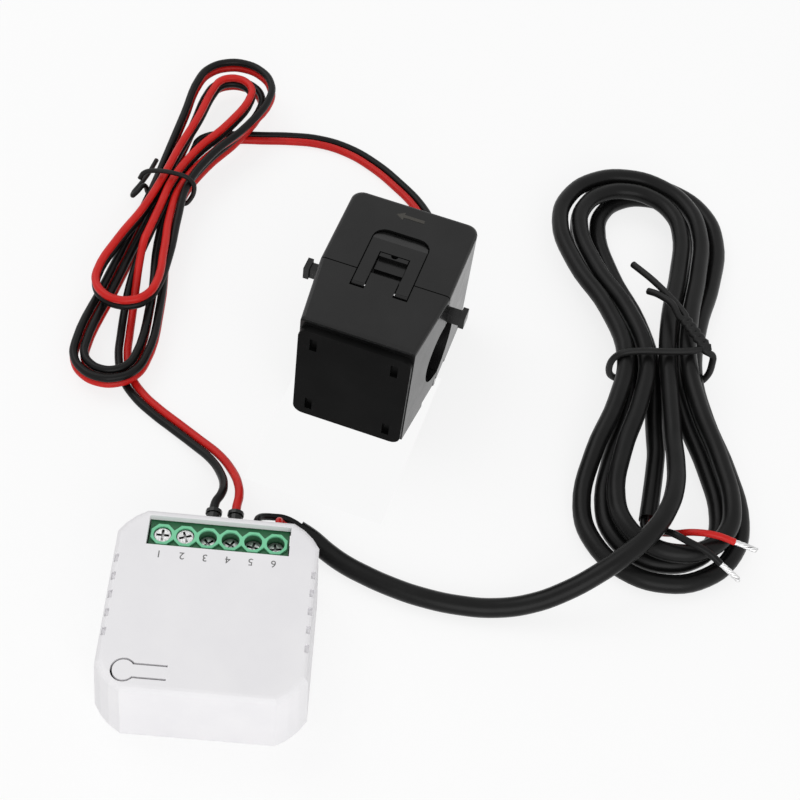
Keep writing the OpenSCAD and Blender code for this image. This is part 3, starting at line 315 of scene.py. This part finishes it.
CORE_IN_A = [
    (7.5, 24.4, WIRE_Z), (7.5, 26.8, WIRE_Z), (7.6, 28, 9.5), (8.1, 29.2, 8.6),
    (9.2, 30.2, 7.5), (11, 31, 6.4), (13.4, 31.5, 5.5)]
CORE_IN_B = [
    (12.5, 24.4, WIRE_Z), (12.5, 26.8, WIRE_Z), (12.5, 28, 9.4), (12.6, 28.9, 8.3),
    (12.9, 29.3, 7), (13.7, 29.4, 5.8)]
CORE_OUT_A = [
    (102.4, 38.4, 4), (105.2, 36.1, 7.2), (109.4, 34.7, 10.6), (114.4, 33.8, 11.6), (119, 33.2, 10.4)]
CORE_OUT_B = [
    (100.3, 37.8, 3.8), (101.2, 36.3, 7.2), (103.6, 34, 10.7), (107.6, 31.2, 11.8), (112, 29.1, 11.4),
    (115.4, 27.2, 9.8)]


def clamp_point(x, y, z):
    c, s = math.cos(CLAMP_TURN), math.sin(CLAMP_TURN)
    return (CLAMP_AT[0] + x * c - y * s, CLAMP_AT[1] + x * s + y * c, z)


def pair_path(rows, side):
    p = [np.array(r[:3], float) for r in rows]
    out = []
    for t, q, row in zip(tangents(p), p, rows):
        s = side_of(t)
        a = math.radians(row[4])
        out.append(q + side * row[3] * (math.cos(a) * s + math.sin(a) * np.cross(s, t)))
    return out


lead_loops = [(*r[:3], LEAD_PAIR / 2, r[3]) for r in lead_hank.rows()]
CLAMP_EXIT_X, CLAMP_EXIT = 2, ((25.6, 8), (29, 8), (33, 7.2))
lead_entry = [(*clamp_point(CLAMP_EXIT_X, y, z), LEAD_PAIR / 2, 0) for y, z in CLAMP_EXIT]


def beyond(points, i, j, d):
    """A point straight on from end i, away from j, so that two stretches meet square."""
    end, before = np.array(points[i][:3], float), np.array(points[j][:3], float)
    return tuple(end + d * unit(end - before))


lead_rows = (lead_entry + LEAD_TAIL + [(*beyond(lead_loops, 0, 1, LEAD_D), *lead_loops[0][3:])] + lead_loops
             + [(*beyond(lead_loops, -1, -2, LEAD_D), *lead_loops[-1][3:])] + LEAD_FEED)
cable_loops = [r[:3] for r in cable_hank.rows()]
cable_points = (CABLE_FEED + [beyond(cable_loops, -1, -2, CABLE_D)] + cable_loops[::-1]
                + [beyond(cable_loops, 0, 1, CABLE_D)] + CABLE_END)


def curve_through(name, points, diameter, material):
    data = bpy.data.curves.new(name, "CURVE")
    data.dimensions = "3D"
    data.bevel_depth = diameter / 2 * MM
    data.bevel_resolution = 4
    data.resolution_u = 5
    data.use_fill_caps = True
    spline = data.splines.new("BEZIER")
    spline.bezier_points.add(len(points) - 1)
    for knot, p in zip(spline.bezier_points, points):
        knot.co = Vector([float(v) for v in p]) * MM
        knot.handle_left_type = knot.handle_right_type = "AUTO"
    data.materials.append(material)
    piece = bpy.data.objects.new(name, data)
    scene.collection.objects.link(piece)
    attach(piece, "module")
    return piece


for colour, side, material in (("red", -1, RED), ("black", 1, SHEATH)):
    route = pair_path(lead_rows, side)
    lead = curve_through("twin_lead_" + colour, route, LEAD_D, material)
    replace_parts(lead, *["lead_%s_%s" % (colour, part) for part in ("feed", "hank", "tail")])


def at_jacket(points, i, j, side, out):
    """Where a core meets a jacket's end: beside its axis, and straight out from it."""
    end, inward = np.array(points[i], float), np.array(points[j], float)
    t = unit(inward - end)
    return tuple(end - out * t + side * CORE_OFF * side_of(t))


core_routes = {
    "core_red_in": CORE_IN_B + [at_jacket(CABLE_FEED, 0, 1, 1, out) for out in (CORE_D, 0)],
    "core_black_in": CORE_IN_A + [at_jacket(CABLE_FEED, 0, 1, -1, out) for out in (CORE_D, 0)],
    "core_red_out": [at_jacket(CABLE_END, 2, 1, 1, out) for out in (0, CORE_D)] + CORE_OUT_A,
    "core_black_out": [at_jacket(CABLE_END, 2, 1, -1, out) for out in (0, CORE_D)] + CORE_OUT_B}
for name, route in core_routes.items():
    colour = name.split("_")[1]
    wire = curve_through(name + "_wire", route, CORE_D, RED if colour == "red" else SHEATH)
    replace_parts(wire, name)
cable = curve_through("supply_cable", cable_points, CABLE_D, SHEATH)
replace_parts(cable, "cable_feed", "cable_hank", "cable_end")


# Pieces of bent wire: ties, bare strands and the clamp's winding

def smooth_points(points, per=6):
    """Points of a smooth curve through the given ones."""
    p = [np.array(q, float) for q in points]
    p = [2 * p[0] - p[1]] + p + [2 * p[-1] - p[-2]]
    out = []
    for a, b, c, d in zip(p, p[1:], p[2:], p[3:]):
        for t in (k / per for k in range(per)):
            out.append(0.5 * (2 * b + (c - a) * t + (2 * a - 5 * b + 4 * c - d) * t * t
                              + (3 * b - a - 3 * c + d) * t ** 3))
    return out + [p[-2]]


OFF_AXIS = (0.31, 0.17, 0.93)


def sweep(mesh, points, radius, sides=10):
    """Adds a round wire along the points, with domed ends."""
    normal = None
    rings = []
    along = tangents(points)
    for i, (p, t) in enumerate(zip(points, along)):
        if normal is None:
            normal = unit(np.cross(t, OFF_AXIS))
        normal = unit(normal - t * float(np.dot(normal, t)))
        other = np.cross(t, normal)
        rings.append([mesh.verts.new(Vector(p + radius * (math.cos(a) * normal + math.sin(a) * other)) * MM)
                      for a in (2 * math.pi * k / sides for k in range(sides))])
    for a, b in zip(rings, rings[1:]):
        for k in range(sides):
            mesh.faces.new((a[k], a[(k + 1) % sides], b[(k + 1) % sides], b[k]))
    for end, ring, t in ((points[0], rings[0][::-1], -along[0]), (points[-1], rings[-1], along[-1])):
        tip = mesh.verts.new(Vector(end + 0.5 * radius * t) * MM)
        for k in range(sides):
            mesh.faces.new((ring[k], ring[(k + 1) % sides], tip))


def mesh_data(mesh, name):
    data = bpy.data.meshes.new(name)
    mesh.to_mesh(data)
    mesh.free()
    return data


def mesh_piece(name, data, material):
    data.materials.append(material)
    piece = bpy.data.objects.new(name, data)
    scene.collection.objects.link(piece)
    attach(piece, "module")
    return piece


def wire_piece(name, wires, material, node, sides=10):
    mesh = bmesh.new()
    for points, radius in wires:
        sweep(mesh, points, radius, sides)
    data = mesh_data(mesh, name)
    for face in data.polygons:
        face.use_smooth = True
    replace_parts(mesh_piece(name, data, material), node)


def placed(points, place, turn):
    c, s = math.cos(turn), math.sin(turn)
    return [np.array((place[0] + x * c - y * s, place[1] + x * s + y * c, z)) for x, y, z in points]


# Lead tie: a thin sheathed wire once round the waist, with one loose tail
LEAD_TIE_R = 0.65
LEAD_TIE = [
    (7.3, 1.5, 8.6), (6.5, 0.9, 10.2), (4.8, 0.5, 11.3), (1.5, 0.2, 12.1), (-2.4, -0.1, 12.1),
    (-5.4, -0.3, 11.4), (-7.2, -0.4, 9.2), (-7.1, -0.4, 6.0), (-6.1, -0.3, 3.2), (-4.9, -0.2, 1.4),
    (-2.8, -0.2, 0.8), (1, -0.1, 0.75), (4.2, 0, 0.9), (5.7, 0.1, 2.4), (6.1, 0.4, 4.8), (6.5, 1.6, 6.2),
    (7.3, 3.5, 5.6), (8.4, 4.4, 4.5), (8.9, 2.2, 3.6), (8.4, -2.2, 2.8), (7.9, -7.5, 2.2), (7.7, -13, 1.8)]
lead_tie_path = placed(smooth_points(LEAD_TIE), lead_hank.place, lead_hank.turn)
wire_piece("lead_tie_wire", [(lead_tie_path, LEAD_TIE_R)], TIE, "lead_tie")

# Cable tie: round the waist, twisted up beside it, with a long and a short tail
TIE_R = 0.9
TWIST_FROM, TWIST_TO = np.array((10.6, 1.6, 13.6)), np.array((4.6, 10.4, 15.0))
TWIST_TURNS, TWIST_STEPS, TWIST_SKIP = 3.0, 36, 6


def twist(phase):
    axis = unit(TWIST_TO - TWIST_FROM)
    side = side_of(axis)
    other = np.cross(side, axis)
    out = []
    for f in (k / TWIST_STEPS for k in range(TWIST_STEPS + 1)):
        a = phase + 2 * math.pi * TWIST_TURNS * f
        round_axis = TIE_R * (math.cos(a) * side + math.sin(a) * other)
        out.append(TWIST_FROM + (TWIST_TO - TWIST_FROM) * f + round_axis)
    return out


LONG_TAIL = [(1.6, 16.2, 15.4), (-2.6, 22.6, 14.4), (-7, 29, 12.6)]
SHORT_TAIL = [(1.9, 13.6, 15.8), (-1.2, 17.2, 14.8), (-3.6, 19.4, 13.4)]
WAIST = [
    (6, 0.6, 13.2), (0, -0.3, 13.2), (-6, -0.8, 13.1), (-10.6, -1.2, 12.2), (-12.8, -1.4, 9.6),
    (-13, -1.3, 5.4), (-11.6, -1, 2.2), (-8, -0.7, 0.95), (0, -0.4, 0.95), (8, -0.2, 0.95), (11.6, 0, 2.2),
    (13, 0.2, 5.4), (12.9, 0.4, 9.6), (12.4, 0.9, 12)]
cable_tie_points = (LONG_TAIL[::-1] + twist(0)[::-TWIST_SKIP] + WAIST + twist(math.pi)[::TWIST_SKIP]
                    + SHORT_TAIL)
cable_tie_path = placed(smooth_points(cable_tie_points, 5), cable_hank.place, cable_hank.turn)
wire_piece("cable_tie_wire", [(cable_tie_path, TIE_R)], TIE, "cable_tie")

# Bare tips: seven tinned strands with a slow twist
STRAND_R, STRAND_RING, STRAND_STEPS, STRAND_TURNS = 0.27, 0.5, 14, 0.8
RING_STRANDS, TIP_L, TIP_INSIDE = 6, 6.0, 0.6
tip_wires = []
for tip, route in enumerate((CORE_OUT_A, CORE_OUT_B)):
    end, before = np.array(route[-1], float), np.array(route[-2], float)
    t = unit(end - before)
    side = side_of(t)
    other = np.cross(side, t)
    for k in range(RING_STRANDS + 1):
        wire = []
        reach = TIP_L * (1 - 0.05 * ((k * 5 + tip * 3) % 7) / 3)
        for f in (i / STRAND_STEPS for i in range(STRAND_STEPS + 1)):
            a = 2 * math.pi * (k / RING_STRANDS + STRAND_TURNS * f) + tip
            r = 0 if k == RING_STRANDS else STRAND_RING * (0.86 + 0.2 * math.sin(7 * f + k) * f)
            wire.append(end - TIP_INSIDE * t + (reach + TIP_INSIDE) * f * t
                        + r * (math.cos(a) * side + math.sin(a) * other))
        tip_wires.append((wire, STRAND_R))
wire_piece("tinned_strands", tip_wires, TINNED, "tinned_tips", 8)

# The winding on the clamp's bobbin, laid turn by turn
WIND_R, WIND_PITCH, WIND_STEPS, WIND_SQUARE = 0.22, 0.5, 16, 0.35
WIND_HALF = (11.15, 1.95)


def squared(half, wave):
    return half * math.copysign(abs(wave) ** WIND_SQUARE, wave)


wind_low, wind_high = (np.array(corner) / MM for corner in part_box("clamp_winding"))
wind_mid = (wind_low + wind_high) / 2
wind_turns = int((wind_high[2] - wind_low[2] - 2 * WIND_R) / WIND_PITCH)
coil = []
for i in range(wind_turns * WIND_STEPS + 1):
    a = 2 * math.pi * i / WIND_STEPS
    coil.append((squared(WIND_HALF[0], math.cos(a)), squared(WIND_HALF[1], math.sin(a)),
                 wind_low[2] + WIND_R + WIND_PITCH * i / WIND_STEPS))
wire_piece("winding_wire", [(placed(coil, wind_mid, CLAMP_TURN), WIND_R)], COPPER,
           "clamp_winding", 6)


# Plain marks: terminal numbers on the cover, and a direction arrow on the clamp

COVER_TOP, TERMINALS, TERMINAL_PITCH = 19.0, 6, 5.0
MARK_Y, MARK_SIZE, MARK_THICK, MARK_LIFT = 11.6, 2.5, 0.02, 0.01
for number in range(1, TERMINALS + 1):
    text = bpy.data.curves.new("mark", "FONT")
    text.body = str(number)
    text.size = MARK_SIZE * MM
    text.align_x = "CENTER"
    text.extrude = MARK_THICK * MM
    holder = bpy.data.objects.new("mark", text)
    scene.collection.objects.link(holder)
    bpy.context.view_layer.update()
    flat = bpy.data.meshes.new_from_object(holder.evaluated_get(bpy.context.evaluated_depsgraph_get()))
    bpy.data.objects.remove(holder)
    place = Vector(((number - (TERMINALS + 1) / 2) * TERMINAL_PITCH, MARK_Y, COVER_TOP + MARK_LIFT)) * MM
    flat.transform(Matrix.Translation(place) @ Matrix.Rotation(math.pi, 4, "Z"))
    flat.name = "terminal_mark_%d" % number
    mesh_piece(flat.name, flat, INK)

# The tongue's root: a thin web of the cover's own plastic over the bend
ROOT_X, ROOT_Y, ROOT_HALF = -7.03, -17.6, 1.33
WEB_HALF, WEB_UP, WEB_LIFT, WEB_THICK = 0.55, 0.03, 0.002, 0.1
web_mesh = bmesh.new()
web_rows = []
for x, up in ((-1, 0), (-0.55, 0.8), (0, 1), (0.55, 0.8), (1, 0)):
    web_rows.append([
        web_mesh.verts.new(Vector((ROOT_X + x * WEB_HALF, ROOT_Y + y * ROOT_HALF,
                                   COVER_TOP + WEB_UP * up * (1 - 0.5 * y * y) + WEB_LIFT)) * MM)
        for y in (-1, -0.6, 0, 0.6, 1)])
for near, far in zip(web_rows, web_rows[1:]):
    for k in range(4):
        web_mesh.faces.new((near[k], far[k], far[k + 1], near[k + 1]))
under = bmesh.ops.extrude_face_region(web_mesh, geom=web_mesh.faces[:])
for vertex in under["geom"]:
    if isinstance(vertex, bmesh.types.BMVert):
        vertex.co.z -= WEB_THICK * MM
bmesh.ops.recalc_face_normals(web_mesh, faces=web_mesh.faces[:])
mesh_piece("tongue_web", mesh_data(web_mesh, "tongue_web"), WHITE)

# The arrow: a low raised mark with sloping sides
ARROW = [(-4.2, 0), (-2.2, 1.3), (-2.2, 0.5), (3.2, 0.5), (3.2, -0.5), (-2.2, -0.5), (-2.2, -1.3)]
ARROW_Y, ARROW_FOOT, ARROW_TOP, ARROW_TAPER = 20.6, 33.98, 34.1, 0.94
arrow_mesh = bmesh.new()
foot_ring, top_ring = (
    [arrow_mesh.verts.new(Vector(clamp_point(x * k, ARROW_Y + y * k, z)) * MM) for x, y in ARROW]
    for k, z in ((1, ARROW_FOOT), (ARROW_TAPER, ARROW_TOP)))
arrow_mesh.faces.new(top_ring[::-1])
arrow_mesh.faces.new(foot_ring)
for k in range(len(ARROW)):
    n = (k + 1) % len(ARROW)
    arrow_mesh.faces.new((foot_ring[n], foot_ring[k], top_ring[k], top_ring[n]))
bmesh.ops.recalc_face_normals(arrow_mesh, faces=arrow_mesh.faces[:])
mesh_piece("arrow_mark", mesh_data(arrow_mesh, "arrow_mark"), ETCHED)

# The part's own nodes: finish by slot, and edges softened as moulded
SOFT_EDGES = {
    "front_cover": 0.15, "clamp_case": 0.2, "jaw_case": 0.2, "jaw_cap": 0.25, "latch": 0.18,
    "terminal_block": 0.08, "lead_grommet": 0.25, "ferrule_collars": 0.12, "rear_cover": 0.15,
    "button_tongue": 0.1}
SOFT_SEGMENTS, SOFT_ANGLE = 2, math.radians(35)
FACES = {"jaw_cap": BLACK_FACE}
for entry in frame["record"]["subparts"]:
    name = entry["node"]
    node = frame["nodes"].get(name)
    if node is None:
        continue
    node.data.materials.clear()
    node.data.materials.append(FACES.get(name, BY_SLOT[entry["material_slot"]]))
    if name in SOFT_EDGES:
        bevel = node.modifiers.new("soft_edges", "BEVEL")
        bevel.width = SOFT_EDGES[name] * MM
        bevel.segments = SOFT_SEGMENTS
        bevel.limit_method = "ANGLE"
        bevel.angle_limit = SOFT_ANGLE
        bevel.use_clamp_overlap = False


# Floor, backdrop and light. The camera, gloss and glass see a white floor that keeps a light shadow.

def seen_directly(nodes, links):
    path = nodes.new("ShaderNodeLightPath")
    seen = path.outputs["Is Camera Ray"]
    for other in ("Is Glossy Ray", "Is Transmission Ray"):
        most = nodes.new("ShaderNodeMath")
        most.operation = "MAXIMUM"
        links.new(seen, most.inputs[0])
        links.new(path.outputs[other], most.inputs[1])
        seen = most.outputs["Value"]
    return seen


FLOOR_GREY, FLOOR_ROUGH, FLOOR_WHITE, DEEP_TONE = 0.9, 0.7, 0.8, 0.939


def floor_material(name, white, strength):
    """Pale and matt for the light, and by a share plain white for what looks at it directly."""
    mat, nodes, links, shader = new_material(name)
    shader.inputs["Base Color"].default_value = (*grey(FLOOR_GREY), 1)
    shader.inputs["Roughness"].default_value = FLOOR_ROUGH
    glow = nodes.new("ShaderNodeEmission")
    glow.inputs["Color"].default_value = (1, 1, 1, 1)
    glow.inputs["Strength"].default_value = strength
    share = nodes.new("ShaderNodeMath")
    share.operation = "MULTIPLY"
    share.inputs[1].default_value = white
    links.new(seen_directly(nodes, links), share.inputs[0])
    blend = nodes.new("ShaderNodeMixShader")
    links.new(share.outputs["Value"], blend.inputs["Fac"])
    links.new(shader.outputs["BSDF"], blend.inputs[1])
    links.new(glow.outputs["Emission"], blend.inputs[2])
    links.new(blend.outputs["Shader"], nodes["Material Output"].inputs["Surface"])
    return mat


def staged(name, corners, faces, material):
    data = bpy.data.meshes.new(name)
    data.from_pydata([Vector(p) * MM for p in corners], [], faces)
    data.materials.append(material)
    sheet = bpy.data.objects.new(name, data)
    scene.collection.objects.link(sheet)


# The clamp lies on its hinge, so the floor is open there for the jaw to swing down.
# A deeper floor with the same tone lies below.
FLOOR_MID, FLOOR_HALF, FLOOR_Z = (40, 80), 3000, -0.1
DEEP_HALF, DEEP_Z = 300, -70
OPENING = ((-17.5, -45), (17.5, -45), (17.5, 2.5), (-17.5, 2.5))
SQUARE = ((-1, -1), (1, -1), (1, 1), (-1, 1))


def square(half, z):
    return [(FLOOR_MID[0] + x * half, FLOOR_MID[1] + y * half, z) for x, y in SQUARE]


staged("floor", square(FLOOR_HALF, FLOOR_Z) + [clamp_point(x, y, FLOOR_Z) for x, y in OPENING],
       [(k, (k + 1) % 4, 4 + (k + 1) % 4, 4 + k) for k in range(4)], floor_material("floor", FLOOR_WHITE, 1))
staged("deep_floor", square(DEEP_HALF, DEEP_Z), [(0, 1, 2, 3)], floor_material("deep_floor", 1, DEEP_TONE))

AMBIENT = 0.62
world = bpy.data.worlds.new("studio")
world.use_nodes = True
nodes, links = world.node_tree.nodes, world.node_tree.links
nodes["Background"].inputs["Color"].default_value = (1, 1, 1, 1)
level = nodes.new("ShaderNodeMapRange")
level.inputs["To Min"].default_value = AMBIENT
level.inputs["To Max"].default_value = 1
links.new(seen_directly(nodes, links), level.inputs["Value"])
links.new(level.outputs["Result"], nodes["Background"].inputs["Strength"])
scene.world = world


LIGHTS_AIM = (0.03, 0.08, 0)


def area_light(name, place, size, power):
    data = bpy.data.lights.new(name, "AREA")
    data.size = size
    data.energy = power
    light = bpy.data.objects.new(name, data)
    light.location = place
    light.rotation_euler = (Vector(LIGHTS_AIM) - Vector(place)).to_track_quat("-Z", "Y").to_euler()
    scene.collection.objects.link(light)


area_light("key", (-0.5, 0.5, 0.9), 0.7, 2.8)
area_light("fill", (0.25, -0.85, 0.5), 0.8, 4.4)
